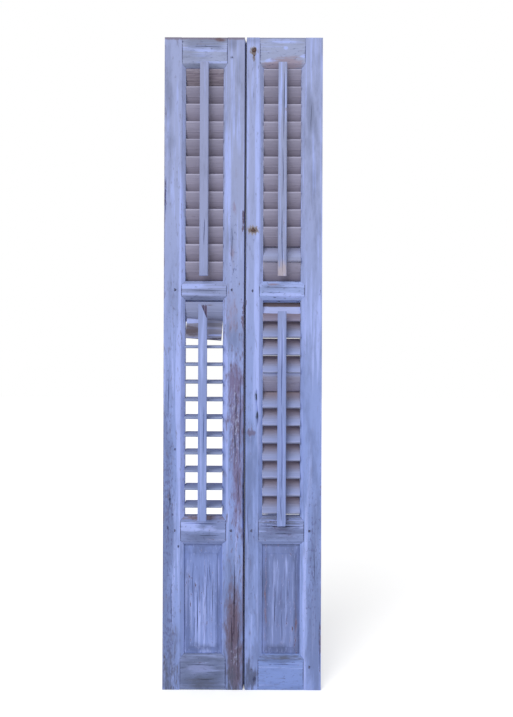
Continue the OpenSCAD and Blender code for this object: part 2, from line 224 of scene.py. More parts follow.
def slat_paint(name, first_z, tilt, across, spread=0.09, peel=0.0):
    """Thin old paint on a slat, worn and soiled across its width, with painted shade and a painted highlight
    across it, and the grain along it.

    across gives colours from the rear edge (0) to the front edge (1): worn paint, with painted shade towards
    the rear edge, where the slat above shades it, and a painted highlight on the lit front edge. Each slat
    is a little lighter or darker than the next, by up to the share that spread gives.
    """
    material, tree, place = new_material(name)
    turn = math.radians(tilt)
    y = add(tree, "SeparateXYZ", {0: place}, out="Y")
    z = add(tree, "SeparateXYZ", {0: place}, out="Z")
    # Which slat of the bank a point is on, from its distance along the slats' normal
    step = SLAT_PITCH * MM * math.cos(turn)
    off = add(tree, "Math", {0: y, 1: -math.sin(turn) / step, 2: first_z * MM * math.cos(turn) / step},
              operation="MULTIPLY_ADD")
    off = add(tree, "Math", {0: z, 1: -math.cos(turn) / step, 2: off}, operation="MULTIPLY_ADD")
    number = add(tree, "Math", {0: off}, operation="ROUND")
    # How far across that slat the point is, from 0 at the rear edge to 1 at the front edge
    lift = add(tree, "Math", {0: number, 1: SLAT_PITCH * MM, 2: -first_z * MM}, operation="MULTIPLY_ADD")
    lift = add(tree, "Math", {0: z, 1: lift}, operation="ADD")
    part = add(tree, "Math", {0: y, 1: -math.cos(turn) / (SLAT_W * MM), 2: 0.5}, operation="MULTIPLY_ADD")
    part = add(tree, "Math", {0: lift, 1: math.sin(turn) / (SLAT_W * MM), 2: part}, operation="MULTIPLY_ADD")
    wobble = grain_noise(tree, place, "X", *SLAT_WOBBLE, detail=2.0)
    part = add(tree, "Math", {0: wobble, 1: EDGE_WOBBLE, 2: part}, operation="MULTIPLY_ADD")
    part = add(tree, "Math", {0: part, 1: EDGE_WOBBLE / 2}, operation="SUBTRACT")

    fibre = grain_noise(tree, place, "X", *SLAT_FIBRE)
    flake = grain_noise(tree, place, "X", *SLAT_FLAKE, detail=5.0, roughness=0.62)
    # Colours across the slat: worn paint, with painted shade towards the rear edge and a painted highlight
    # on the front edge
    colour = add(tree, "ValToRGB", {0: part}, stops=across)
    chance = add(tree, "TexWhiteNoise", {"W": number}, out="Value", noise_dimensions="1D")
    shade = add(tree, "MapRange", {"Value": chance, "To Min": 1 - spread, "To Max": 1 + spread})
    streaked = add(tree, "MapRange", {"Value": fibre, "From Min": 0.3, "From Max": 0.7,
                                      "To Min": STREAK_DARK, "To Max": STREAK_LIGHT})
    shade = add(tree, "Math", {0: shade, 1: streaked}, operation="MULTIPLY")
    colour = add(tree, "VectorMath", {0: colour, "Scale": shade}, operation="SCALE")
    wood = add(tree, "ValToRGB", {0: fibre}, stops=SLAT_PINE)
    loose = add(tree, "Math", {0: flake, 1: peel}, operation="ADD")
    colour, gone = cover(tree, colour, wood, loose, *SLAT_GONE_COVER)
    relief = add(tree, "Math", {0: gone, 1: SLAT_BARE_RELIEF, 2: fibre}, operation="MULTIPLY_ADD")
    rough = add(tree, "MapRange", {"Value": gone, "To Min": SLAT_ROUGH[0], "To Max": SLAT_ROUGH[1]})
    finish_material(tree, colour, rough, relief, SLAT_GLOSS)
    return material


def rusted_iron(name):
    """Wrought iron rusted all over: a dull brown-grey crust, blotched orange-brown."""
    material, tree, place = new_material(name)
    blotch = add(tree, "TexNoise", {"Vector": place, "Scale": 1 / (RUST_BLOTCH * MM), "Detail": 4.0})
    crust = add(tree, "TexNoise", {"Vector": place, "Scale": 1 / (RUST_CRUST * MM), "Detail": 3.0})
    colour = add(tree, "ValToRGB", {0: blotch}, stops=RUST)
    rough = add(tree, "MapRange", {"Value": blotch, "To Min": RUST_ROUGH[0], "To Max": RUST_ROUGH[1]})
    finish_material(tree, colour, rough, crust, RUST_GLOSS)
    return material


def end_grain(name):
    """Oak end grain, grey with dirt: dark, speckled with open pores."""
    material, tree, place = new_material(name)
    pores = add(tree, "TexNoise", {"Vector": place, "Scale": 1 / (OAK_PORE * MM), "Detail": 3.0})
    colour = add(tree, "ValToRGB", {0: pores}, stops=OAK_END)
    rough = add(tree, "MapRange", {"Value": pores, "To Min": OAK_ROUGH[0], "To Max": OAK_ROUGH[1]})
    finish_material(tree, colour, rough, pores, OAK_GLOSS)
    return material


# Uprights. A zone is x, z, half width and half height in millimetres, and its strength
left_hinge_stile_paint = oil_paint_on_pine(
    "oil_paint_left_hinge_stile", "Z",
    wear=[(-264, 1668, 9, 70, 0.45), (-250, 700, 26, 520, 0.07), (-250, 200, 40, 300, 0.10),
          (-262, 60, 14, 120, 0.3)],
    grime_and_shade=[(-254, 560, 36, 700, 0.42), (-250, 90, 50, 240, 0.4), (-240, 1330, 24, 140, 0.2),
           (-252, 1900, 22, 330, 0.25)],
    chalk=[(-209, 900, 20, 660, 0.62), (-209, 1500, 16, 360, 0.35), (-240, 1750, 12, 260, 0.2)],
    nicks=[(-250, 620, 40, 700, 0.25), (-240, 1300, 36, 280, 0.12), (-240, 120, 46, 240, 0.18)],
    scars=[("#3f4468", [(-215, 482, 8, 13, 0.55), (-227, 809, 6, 8, 0.7), (-244, 640, 9, 22, 0.5),
                        (-250, 545, 8, 16, 0.5), (-233, 590, 6, 12, 0.5)])],
    bare=[(TOP_DIRT_LEFT, [(-232, 2206, 300, 17, 1.0)]), (FOOT_DIRT, [(-250, 20, 60, 220, 0.3)]),
          (OUTER_EDGE_DARK, [(-269, 1700, 7, 900, 0.5), (-269, 500, 7, 800, 0.5)])])
# The upper half of the left meeting stile kept its paint
SOUND_TOP = (-30, 1900, 90, 640, -0.24)
left_meeting_stile_paint = oil_paint_on_pine(
    "oil_paint_left_meeting_stile", "Z", high="#959ec5",
    wear=[(3, 1598, 13, 80, 0.5), (2, 1277, 14, 110, 0.5), (-16, 915, 44, 280, 0.34),
          (-18, 640, 34, 220, 0.16), (-28, 210, 46, 240, 0.46), (-16, 40, 40, 120, 0.3),
          (-30, 1600, 36, 200, 0.06), (-30, 1960, 80, 420, -0.1)],
    grime_and_shade=[(-20, 60, 70, 180, 0.4), (-28, 1190, 44, 80, 0.35), (-20, 260, 60, 280, 0.42),
           (-10, 900, 30, 300, 0.2), (-36, 2180, 40, 30, 0.3)],
    chalk=[(-35, 1900, 30, 300, 0.15), (-58, 960, 12, 420, 0.35), (-50, 1700, 16, 200, 0.25)],
    nicks=[(-32, 1440, 36, 300, 0.16), (-20, 640, 34, 260, 0.15)],
    scars=[("#443a50", [(-8, 900, 6, 190, 0.42), (-24, 940, 6, 60, 0.5), (-24, 830, 7, 70, 0.5),
                        (-26, 300, 8, 130, 0.45), (2, 640, 8, 150, 0.42), (-30, 180, 7, 80, 0.42)]),
           ("#a4abcf", [(-24, 900, 50, 400, 0.33), (-22, 110, 34, 110, 0.32)])],
    bare=[("#71668a", [(-20, 925, 48, 270, 0.4), (-30, 1040, 34, 80, 0.26), (-16, 650, 34, 210, 0.36),
                       SOUND_TOP]),
          ("#574c62", [(-20, 900, 50, 360, 0.12), SOUND_TOP]),
          ("#8b86a6", [(-28, 1625, 15, 44, 0.52), (-34, 1480, 22, 70, 0.4), (-36, 1270, 32, 120, 0.34),
                       SOUND_TOP]),
          ("#62566a", [(-28, 210, 42, 230, 0.6), (-20, 40, 44, 120, 0.4), SOUND_TOP]),
          ("#675d76", [(6, 1000, 9, 1100, 0.34), (6, 300, 10, 400, 0.3), SOUND_TOP]),
          (TOP_DIRT_LEFT, [(-36, 2206, 300, 17, 1.0)]), (FOOT_DIRT, [(-40, 20, 70, 200, 0.3), SOUND_TOP])])
right_meeting_stile_paint = oil_paint_on_pine(
    "oil_paint_right_meeting_stile", "Z",
    wear=[(24, 870, 12, 30, 0.44), (11, 1100, 6, 400, 0.18), (40, 40, 18, 30, 0.35),
          (14, 1340, 10, 160, 0.22)],
    grime_and_shade=[(46, 989, 8, 24, 0.4), (49, 923, 8, 30, 0.4), (24, 860, 22, 60, 0.35), (40, 120, 30, 90, 0.15),
           (34, 2190, 40, 16, 0.2), (22, 620, 16, 200, 0.15), (34, 480, 50, 560, 0.25)],
    nicks=[(30, 380, 44, 460, 0.13)],
    chalk=[(48, 1600, 15, 760, 0.40), (18, 1900, 8, 260, 0.3), (52, 1000, 16, 330, 0.25)],
    scars=[("#aab2d6", [(33, 2158, 28, 26, 0.65), (32, 1551, 28, 22, 0.65)]),
           ("#8d8791", [(34, 2156, 26, 24, 0.7), (33, 1550, 42, 28, 0.72)]),
           ("#706668", [(35, 2157, 22, 19, 0.75), (34, 2136, 10, 26, 0.65), (33, 1550, 30, 19, 0.75)]),
           ("#3a2c2e", [(35, 2158, 13, 12, 0.9), (33, 1550, 12, 10, 0.85)]),
           ("#4f5872", [(46, 989, 7, 26, 0.6), (49, 923, 8, 26, 0.65)]),
           ("#3f4666", [(43, 37, 14, 15, 0.65)])],
    bare=[("#525a78", [(22, 45, 26, 90, 0.42), (42, 40, 22, 50, 0.36)]),
          ("#6b6788", [(27, 866, 24, 14, 0.62)])])
right_hinge_stile_paint = oil_paint_on_pine(
    "oil_paint_right_hinge_stile", "Z",
    wear=[(264, 1335, 9, 44, 0.45), (265, 130, 9, 200, 0.42), (245, 600, 25, 500, 0.05),
          (264, 700, 6, 300, 0.2)],
    grime_and_shade=[(235, 1800, 50, 400, 0.22), (245, 160, 44, 320, 0.4), (240, 520, 44, 520, 0.25),
           (225, 1950, 14, 90, 0.3)],
    chalk=[(240, 1180, 30, 240, 0.28), (213, 260, 16, 360, 0.12), (225, 700, 20, 260, 0.15)],
    nicks=[(240, 420, 50, 560, 0.2), (245, 1900, 30, 300, 0.05)],
    bare=[(OUTER_EDGE_DARK, [(269, 300, 6, 500, 0.45)])])

# Rails
# On the left top rail, the grime zone at z 2103 is painted shade on the downward-facing lower chamfer
left_top_rail_paint = oil_paint_on_pine(
    "oil_paint_left_top_rail", "X", high="#98a1c4", chalk=[(-140, 2140, 60, 30, 0.2)],
    grime_and_shade=[(-131, 2103, 110, 11, 0.42), (-149, 2174, 60, 14, 0.5), (-131, 2190, 110, 14, 0.4),
           (-90, 2170, 30, 16, 0.3)],
    wear=[(-82, 2194, 34, 10, 0.45)],
    bare=[(TOP_DIRT_LEFT, [(-131, 2206, 400, 17, 1.0)]), ("#6f5f66", [(-78, 2193, 28, 11, 0.5)])],
    shoulders=[(-208, 2150, 70), (-55, 2150, 70)])
# On the right top rail, the grime zone at z 2102 is painted shade on the downward-facing lower chamfer
right_top_rail_paint = oil_paint_on_pine(
    "oil_paint_right_top_rail", "X", high="#98a1c3",
    bare=[("#94889a", [(150, 2116, 70, 30, 0.7), (95, 2108, 46, 15, 0.6)]),
          (TOP_DIRT_RIGHT, [(131, 2205, 400, 12, 0.9)])],
    grime_and_shade=[(131, 2102, 110, 9, 0.5)],
    chalk=[(92, 2124, 24, 12, 0.5), (203, 2138, 16, 10, 0.6), (131, 2188, 90, 8, 0.4),
           (142, 2165, 10, 8, 0.5)],
    shoulders=[(55, 2150, 50), (208, 2150, 50)])
# On the left middle rail, the grime zone at z 1318 is painted shade on the lower chamfer; the one at z 1346
# is grime along the split
left_middle_rail_paint = oil_paint_on_pine(
    "oil_paint_left_middle_rail", "X", high="#9097bb", low="#808fc0",
    grime_and_shade=[(-131, 1346, 90, 8, 0.4), (-131, 1318, 90, 10, 0.3)], chalk=[(-170, 1362, 50, 10, 0.35)],
    scars=[("#6a719a", [(-131, 1347, 90, 3.5, 0.42)])], shoulders=[(-208, 1346, 40), (-55, 1346, 40)])
right_middle_rail_paint = oil_paint_on_pine(
    "oil_paint_right_middle_rail", "X", high="#9eabd9", low="#8ca2df",
    scars=[("#7a7c9e", [(131, 1357, 90, 3.5, 0.4)])], chalk=[(140, 1335, 90, 16, 0.35)],
    grime_and_shade=[(100, 1362, 40, 9, 0.4)], bare=[("#887a90", [(105, 1368, 30, 6, 0.4)])],
    shoulders=[(55, 1346, 40), (208, 1346, 40)])
left_lock_rail_paint = oil_paint_on_pine(
    "oil_paint_left_lock_rail", "X", low="#7c8aba", peel=-0.14, wear=[(-131, 577, 100, 12, 0.34)],
    chalk=[(-180, 548, 50, 20, 0.55), (-110, 545, 30, 14, 0.3)], grime_and_shade=[(-131, 512, 90, 22, 0.35)],
    bare=[("#7b6f7c", [(-131, 580, 130, 13, 0.56)])], shoulders=[(-208, 535, 60), (-55, 535, 60)])
right_lock_rail_paint = oil_paint_on_pine(
    "oil_paint_right_lock_rail", "X", low="#7f8dbd", peel=-0.14, wear=[(131, 570, 100, 22, 0.16)],
    grime_and_shade=[(131, 530, 100, 30, 0.35)], chalk=[(131, 520, 70, 10, 0.2)],
    scars=[("#3b3850", [(131, 551, 95, 4, 0.6), (120, 571, 90, 3, 0.45), (150, 562, 60, 2.5, 0.45)])],
    shoulders=[(55, 535, 60), (208, 535, 60)], bare=[("#5e6186", [(131, 540, 110, 26, 0.3)])])
left_bottom_rail_paint = oil_paint_on_pine(
    "oil_paint_left_bottom_rail", "X", low="#6f7ba1",
    grime_and_shade=[(-131, 24, 90, 44, 0.5), (-131, 106, 100, 16, 0.25), (-190, 60, 30, 70, 0.1),
           (-75, 60, 26, 70, 0.2)],
    wear=[(-138, 92, 60, 6, 0.3)], scars=[("#5c5870", [(-140, 92, 56, 3, 0.4)])],
    shoulders=[(-208, 55, 75), (-55, 55, 75)],
    bare=[(FOOT_DIRT, [(-136, 24, 70, 34, 0.4)]), ("#808ab6", [(-141, 72, 58, 23, 0.66)])])
right_bottom_rail_paint = oil_paint_on_pine(
    "oil_paint_right_bottom_rail", "X", low="#7b90ca", grime_and_shade=[(131, 106, 100, 18, 0.6)],
    wear=[(190, 84, 25, 6, 0.35)], chalk=[(131, 45, 160, 80, -0.13)],
    scars=[("#4b5078", [(131, 86, 80, 3, 0.4)])], shoulders=[(55, 55, 75), (208, 55, 75)],
    bare=[(FOOT_DIRT, [(131, 108, 110, 18, 0.35)])])

# Panels
# On the left panel, the grime zones along its sides and near its top are painted shade in the recess, and
# the band at z 487 is a painted shadow under the lock rail
left_panel_paint = oil_paint_on_pine(
    "oil_paint_left_panel", "Z", high="#7889c2", low="#7889c2", peel=-0.12,
    grime_and_shade=[(-190, 300, 22, 260, 0.5), (-131, 138, 80, 24, 0.5), (-131, 470, 80, 30, 0.3),
           (-80, 300, 14, 240, 0.3), (-131, 487, 120, 9, 0.8)],
    wear=[(-177, 330, 10, 130, 0.12), (-105, 370, 10, 60, 0.12)],
    chalk=[(-135, 260, 44, 200, 0.16), (-131, 472, 140, 44, -0.22)],
    nicks=[(-131, 330, 84, 240, 0.19)], nick_size=PANEL_NICK_GRAIN,
    scars=[("#4a4f7a", [(-118, 330, 4, 130, 0.36), (-150, 260, 4, 110, 0.36), (-98, 250, 3, 90, 0.34)])])
# On the right panel, the grime zones along its sides are painted shade in the recess, and the band at z 487
# is a painted shadow under the lock rail
right_panel_paint = oil_paint_on_pine(
    "oil_paint_right_panel", "Z", high="#707eb0", low="#707eb0", peel=-0.12,
    grime_and_shade=[(80, 300, 18, 240, 0.4), (131, 135, 80, 26, 0.5), (186, 250, 16, 240, 0.4),
           (131, 487, 120, 9, 0.8)],
    wear=[(80, 320, 7, 190, 0.18), (182, 210, 7, 110, 0.18)],
    chalk=[(140, 390, 34, 90, 0.1), (131, 472, 140, 44, -0.22)],
    nicks=[(131, 300, 84, 240, 0.16)], nick_size=PANEL_NICK_GRAIN,
    bare=[("#74667c", [(80, 300, 7, 200, 0.3), (183, 220, 6, 150, 0.3)])])

# Tilt bars
upper_left_bar_paint = oil_paint_on_pine(
    "oil_paint_upper_left_bar", "Z", high="#939abf", low="#8291c4", grime_and_shade=[(-131, 1700, 10, 120, 0.2)],
    scars=[("#6d6484", [(-131, 1535, 5, 60, 0.45)])])
upper_right_bar_paint = oil_paint_on_pine(
    "oil_paint_upper_right_bar", "Z", high="#9199bc", low="#808ec0", peel=-0.14,
    wear=[(131, 1405, 25, 40, 0.25)], bare=[("#ada3ad", [(131, 1408, 32, 58, 0.8)])],
    scars=[("#55577a", [(131, 1530, 4, 110, 0.45), (136, 1960, 3, 160, 0.42), (133, 1760, 3, 150, 0.36)])],
    chalk=[(141, 1980, 5, 130, 0.6), (127, 2000, 6, 110, 0.4)])
lower_left_bar_paint = oil_paint_on_pine(
    "oil_paint_lower_left_bar", "Z", high="#9199c0", low="#8292c8", chalk=[(-138, 1200, 10, 110, 0.5)],
    grime_and_shade=[(-131, 640, 20, 110, 0.4), (-128, 900, 8, 160, 0.3)],
    scars=[("#6a5a66", [(-121, 1240, 5, 40, 0.5)])])
bared_bar_wood = oil_paint_on_pine(
    "bare_pine_lower_left_bar", "Z", peel=0.5,
    bare=[("#95878f", [(-121, 1274, 9, 44, 0.6)]), ("#453c48", [(-133, 1276, 6, 36, 0.6)])])
lower_right_bar_paint = oil_paint_on_pine(
    "oil_paint_lower_right_bar", "Z", high="#9199c0", low="#8292c8", grime_and_shade=[(131, 590, 20, 50, 0.5)],
    scars=[("#4c527c", [(131, 950, 3.5, 380, 0.46), (133, 700, 3, 160, 0.4)]),
           ("#77677b", [(131, 580, 13, 34, 0.45)])])


def pivot_z(first_z, number):
    """Height of a slat's pivot, counted down from the first slat of its bank."""
    return first_z - (number - 1) * SLAT_PITCH


# Slats: colours from the rear edge to the front edge, with painted shade at the rear and a painted highlight
# at the front
# The upper slats' colours darken towards the rear edge as painted shade under the slat above, with a painted
# highlight on the lit front edge
upper_slat_paint = slat_paint(
    "worn_paint_upper_slats", UPPER_FIRST_Z, UPPER_TILT,
    [(0.0, "#716b7e"), (0.2, "#7f798c"), (0.6, "#8c889e"), (0.92, "#9491a8"), (0.96, "#a5a3bb"),
     (1.0, "#a3a1b9")], peel=-0.06)
# Upper left slat 1 is bare wood, darkening towards the rear edge as painted shade, like the other upper
# slats
bare_slat_wood = slat_paint(
    "bare_wood_and_painted_shade_upper_left_slat_01", UPPER_FIRST_Z, UPPER_TILT,
    [(0.0, "#665d68"), (0.4, "#7c7480"), (0.7, "#8a8391"), (1.0, "#958f9f")], peel=0.16)
# The level lower left slats darken towards the rear edge as painted shade and lighten at the front edge as a
# painted highlight
lower_left_slat_paint = slat_paint(
    "worn_paint_lower_left_slats", LOWER_FIRST_Z, LOWER_LEFT_TILT,
    [(0.0, "#7681b2"), (0.3, "#7984b2"), (0.75, "#8490b8"), (0.93, "#8b97bc"), (1.0, "#8793b8")],
    spread=0.06, peel=-0.08)
# The lower right slats' brownish rear is partly bare wood and partly painted shade under the slat above; the
# light stop at 0.94 is a painted highlight on the front edge, and the last stop painted shade under it
lower_right_slat_paint = slat_paint(
    "worn_paint_lower_right_slats", LOWER_FIRST_Z, LOWER_RIGHT_TILT,
    [(0.0, "#7a6d78"), (0.25, "#847a88"), (0.45, "#84829a"), (0.7, "#8c95bc"), (0.9, "#8e99c6"),
     (0.94, "#99a2cc"), (0.98, "#7c83a4")], spread=0.06, peel=-0.12)
upper_right_11_paint = slat_paint(
    "worn_paint_upper_right_slat_11", pivot_z(UPPER_FIRST_Z, 11), UPPER_RIGHT_11_TILT,
    [(0.0, "#77758c"), (0.3, "#8f93b4"), (0.6, "#9ba3c8"), (0.9, "#8e93b2"), (1.0, "#7f819c")], peel=-0.05)
lower_left_1_paint = slat_paint(
    "worn_paint_lower_left_slat_01", LOWER_FIRST_Z, LOWER_LEFT_1_TILT,
    [(0.0, "#696c8a"), (0.3, "#8289ab"), (0.8, "#9098bd"), (1.0, "#8890b4")], peel=-0.02)
# Lower right slat 1's dark brown rear is bare wood in painted shade
lower_right_1_paint = slat_paint(
    "worn_paint_lower_right_slat_01", LOWER_FIRST_Z, LOWER_RIGHT_1_TILT,
    [(0.0, "#4a3f45"), (0.22, "#5c5058"), (0.27, "#a4aedb"), (0.58, "#a2acdc"), (0.63, "#756b7c"),
     (0.95, "#85809a")], peel=-0.12)
lower_right_5_paint = slat_paint(
    "worn_paint_lower_right_slat_05", pivot_z(LOWER_FIRST_Z, 5), LOWER_RIGHT_5_TILT,
    [(0.0, "#75708a"), (0.3, "#82809a"), (0.75, "#8d8ca6"), (0.92, "#96a0cc"), (1.0, "#a3acd6")])
# The fallen slat's dark brown patch is bare wood in painted shade
fallen_slat_paint = oil_paint_on_pine(
    "worn_paint_lower_left_slat_02", "X", high="#83849c", low="#83849c", peel=-0.14,
    bare=[("#564c54", [(-172, 1211, 52, 26, 0.75)])],
    chalk=[(-176, 1242, 50, 9, 0.9), (-92, 1196, 46, 6, 0.7)],
    grime_and_shade=[(-92, 1240, 54, 22, 0.7)], scars=[("#3f3a4a", [(-90, 1184, 60, 6, 0.6)])])

# Iron, pegs and rotten wood
iron = rusted_iron("rusted_iron_hinges")
peg_wood = end_grain("weathered_oak_pegs")
rot_wood = oil_paint_on_pine(
    "rotten_pine_lock_rail", "X", peel=-0.12, high="#787fa0", low="#787fa0",
    chalk=[(131, 554, 110, 6, 0.8), (131, 572, 90, 5, 0.4)], grime_and_shade=[(131, 565, 100, 16, 0.3)])

FRAME_PAINT = {
    "left_hinge_stile": left_hinge_stile_paint, "left_meeting_stile": left_meeting_stile_paint,
    "right_hinge_stile": right_hinge_stile_paint, "right_meeting_stile": right_meeting_stile_paint,
    "left_top_rail": left_top_rail_paint, "right_top_rail": right_top_rail_paint,
    "left_middle_rail": left_middle_rail_paint, "right_middle_rail": right_middle_rail_paint,
    "left_lock_rail": left_lock_rail_paint, "right_lock_rail": right_lock_rail_paint,
    "left_bottom_rail": left_bottom_rail_paint, "right_bottom_rail": right_bottom_rail_paint,
    "left_panel": left_panel_paint, "right_panel": right_panel_paint,
}
BAR_PAINT = {
    "upper_left_tilt_bar": upper_left_bar_paint, "upper_right_tilt_bar": upper_right_bar_paint,
    "lower_left_tilt_bar": lower_left_bar_paint, "lower_right_tilt_bar": lower_right_bar_paint,
}
SLAT_PAINT = {
    "upper_left": upper_slat_paint, "upper_right": upper_slat_paint,
    "lower_left": lower_left_slat_paint, "lower_right": lower_right_slat_paint,
}


def give_paint(piece, paint):
    """Leaves this material alone on a piece."""
    piece.data.materials.clear()
    piece.data.materials.append(paint)


for name, node in nodes.items():
    bank = "_".join(name.split("_")[:2])
    give_paint(node, FRAME_PAINT.get(name) or BAR_PAINT.get(name) or SLAT_PAINT.get(bank) or iron)

# Points this near in millimetres are merged, faces this near in degrees are one, and a place is met to this
MERGE_WITHIN, FLAT_WITHIN, SAME_PLACE = 0.01, 0.5, 0.05
# Rounding of the arrises in millimetres, on edges that turn by more than the angle in degrees
ARRIS_WEAR, MEETING_ARRIS_WEAR, ARRIS_SEGMENTS, ARRIS_ANGLE = 1.3, 0.5, 2, 25
# Paint built up on the sides of the openings
PAINT_BUILD = 0.35
# Back lip of the meeting edges: where it starts, how near the seam it is, and the play that is left
SEAM_LIP_Y, SEAM_REACH, SEAM_PLAY = 15.5, 3, 0.2
# How far a split or fibre sways from side to side, how often, and how its neighbours differ
SWAY, SWAY_WAVES, SWAY_SHIFT = 0.9, 2.6, 1.9
LENS_SEGMENTS, LENS_RINGS = 8, 16
SPLIT_DEPTH = 4.5
# Drying splits: x, z, length and width
SPLITS = {
    "left_meeting_stile": [
        (-8, 905, 300, 3.2), (-22, 955, 110, 3.6), (-25, 835, 130, 3.4), (-25, 300, 250, 3.4),
        (1, 620, 260, 3.0), (-33, 170, 150, 2.8), (-12, 130, 200, 3.2), (-38, 1500, 110, 2.0),
        (-14, 690, 120, 2.6)],
    "left_hinge_stile": [
        (-262, 1668, 130, 3.0), (-244, 640, 60, 2.6), (-238, 300, 160, 2.2), (-250, 980, 150, 2.0)],
    "right_meeting_stile": [(47, 985, 60, 3.0), (50, 925, 70, 3.4), (20, 560, 140, 1.8)],
    "right_hinge_stile": [(228, 1930, 90, 1.3), (243, 420, 150, 1.6), (262, 150, 170, 2.6)],
    "left_middle_rail": [(-131, 1347, 150, 1.3)],
    "right_middle_rail": [(131, 1357, 140, 1.2), (110, 1340, 60, 1.0)],
    "left_top_rail": [(-120, 2170, 90, 1.8)],
    "left_lock_rail": [(-140, 560, 110, 2.4), (-110, 520, 70, 1.8)],
    "right_lock_rail": [
        (131, 551.5, 152, 3.4), (118, 560, 100, 2.6), (160, 545, 70, 2.2), (140, 527, 60, 1.8)],
    "left_bottom_rail": [(-131, 84, 110, 2.4), (-120, 36, 60, 2.0)],
    "right_bottom_rail": [(150, 86, 90, 2.4)],
    "left_panel": [
        (-118, 350, 130, 1.6), (-150, 260, 150, 1.5), (-99, 300, 110, 1.4), (-166, 370, 120, 1.4),
        (-128, 210, 90, 1.3), (-108, 390, 60, 1.8), (-160, 210, 70, 1.2)],
    "right_panel": [
        (112, 290, 130, 1.5), (152, 340, 110, 1.4), (135, 210, 90, 1.3), (122, 400, 80, 1.3)],
    "upper_right_tilt_bar": [(136, 1960, 240, 2.4), (133, 1740, 170, 2.2), (131, 1510, 210, 2.8)],
    "lower_right_tilt_bar": [(131, 1090, 270, 2.4), (132, 810, 260, 2.6), (130, 620, 90, 2.2)],
    "upper_left_tilt_bar": [(-130, 1540, 90, 2.2)],
    "lower_left_tilt_bar": [(-127, 880, 160, 2.0)],
}


def only(piece):
    """Leaves this piece alone selected and active."""
    bpy.ops.object.select_all(action="DESELECT")
    piece.select_set(True)
    bpy.context.view_layer.objects.active = piece


def merged_copy(node_name, name):
    """A copy of a wooden piece with its flat faces whole, ready to be worn."""
    piece = bpy.data.objects.new(name, nodes[node_name].data.copy())
    bpy.context.scene.collection.objects.link(piece)
    only(piece)
    bpy.ops.object.mode_set(mode="EDIT")
    bpy.ops.mesh.select_all(action="SELECT")
    bpy.ops.mesh.remove_doubles(threshold=MERGE_WITHIN * MM)
    bpy.ops.mesh.dissolve_limited(angle_limit=math.radians(FLAT_WITHIN))
    bpy.ops.object.mode_set(mode="OBJECT")
    return piece


def lens(number, x, z, length, width, depth, front, grain):
    """A long thin lens that sways a little, lying in a front face along the grain. Sizes in millimetres."""
    bpy.ops.object.select_all(action="DESELECT")
    bpy.ops.mesh.primitive_uv_sphere_add(segments=LENS_SEGMENTS, ring_count=LENS_RINGS, radius=1)
    piece = bpy.context.object
    for v in piece.data.vertices:
        sway = SWAY * math.sin(v.co.z * SWAY_WAVES + number * SWAY_SHIFT)
        across, along = v.co.x * width / 2 + sway, v.co.z * length / 2
        at_x, at_z = (x + across, z + along) if grain == "Z" else (x + along, z - across)
        v.co = (at_x * MM, (front + v.co.y * depth) * MM, at_z * MM)
    return piece


def open_splits(piece, splits, grain):
    """Opens drying splits in the front of a piece: x, z, length and width."""
    front = min(v.co.y for v in piece.data.vertices) / MM
    cutters = [lens(number, *split, SPLIT_DEPTH, front, grain) for number, split in enumerate(splits)]
    only(cutters[0])
    for cutter in cutters:
        cutter.select_set(True)
    bpy.ops.object.join()
    only(piece)
    split = piece.modifiers.new("splits", "BOOLEAN")
    split.operation = "DIFFERENCE"
    split.solver = "EXACT"
    split.object = cutters[0]
    bpy.ops.object.modifier_apply(modifier=split.name)
    bpy.data.objects.remove(cutters[0])


def close_seam(piece, side):
    """Brings the hidden back lip of a meeting stile near the other leaf, so that no light shows there."""
    for v in piece.data.vertices:
        if v.co.y > SEAM_LIP_Y * MM and abs(v.co.x - SEAM_X * MM) < SEAM_REACH * MM:
            v.co.x = (SEAM_X - side * SEAM_PLAY / 2) * MM


def close_reveal(piece):
    """Brings the sides of the openings nearer to the slats' ends, where paint has built up."""
    for v in piece.data.vertices:
        for edge, build in ((OPENING_OUT, -PAINT_BUILD), (OPENING_IN, PAINT_BUILD)):
            if abs(abs(v.co.x) - edge * MM) < SAME_PLACE * MM:
                v.co.x += math.copysign(build * MM, v.co.x)


def worn_frame_piece(node_name, width):
    """A stile, rail or panel with its arrises worn round and its drying splits open."""
    piece = merged_copy(node_name, node_name + "_worn")
    arris = piece.modifiers.new("worn_arris", "BEVEL")
    arris.width = width * MM
    arris.segments = ARRIS_SEGMENTS
    arris.limit_method = "ANGLE"
    arris.angle_limit = math.radians(ARRIS_ANGLE)
    bpy.ops.object.modifier_apply(modifier=arris.name)
    close_reveal(piece)
    if "meeting" in node_name:
        close_seam(piece, 1 if "left" in node_name else -1)
    if node_name in SPLITS:
        open_splits(piece, SPLITS[node_name], "X" if "rail" in node_name else "Z")
    only(piece)
    bpy.ops.object.shade_flat()
    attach(piece, node_name.split("_")[0] + "_leaf")
    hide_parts(node_name)


def split_bar(node_name):
    """A tilt bar with its long splits open."""
    piece = merged_copy(node_name, node_name + "_split")
    open_splits(piece, SPLITS[node_name], "Z")
    only(piece)
    bpy.ops.object.shade_flat()
    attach(piece, node_name)
    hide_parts(node_name)


for name in FRAME_PAINT:
    worn_frame_piece(name, MEETING_ARRIS_WEAR if "meeting" in name else ARRIS_WEAR)
for name in BAR_PAINT:
    split_bar(name)

# Bare back of the lower left bar's split top: width, height, thickness and depth behind the front
BARE_W, BARE_H, BARE_T, BARE_BACK = 27, 56, 3.2, 6.2
BARE_COLUMNS, BARE_ROWS = 9, 6
# Its ripple and the jags of its upper end: how far, and radians for each millimetre of width
BARE_RIPPLE, BARE_RIPPLE_TURN = 0.4, 1.1
BARE_JAG, BARE_JAG_TURN = 3.5, 0.9


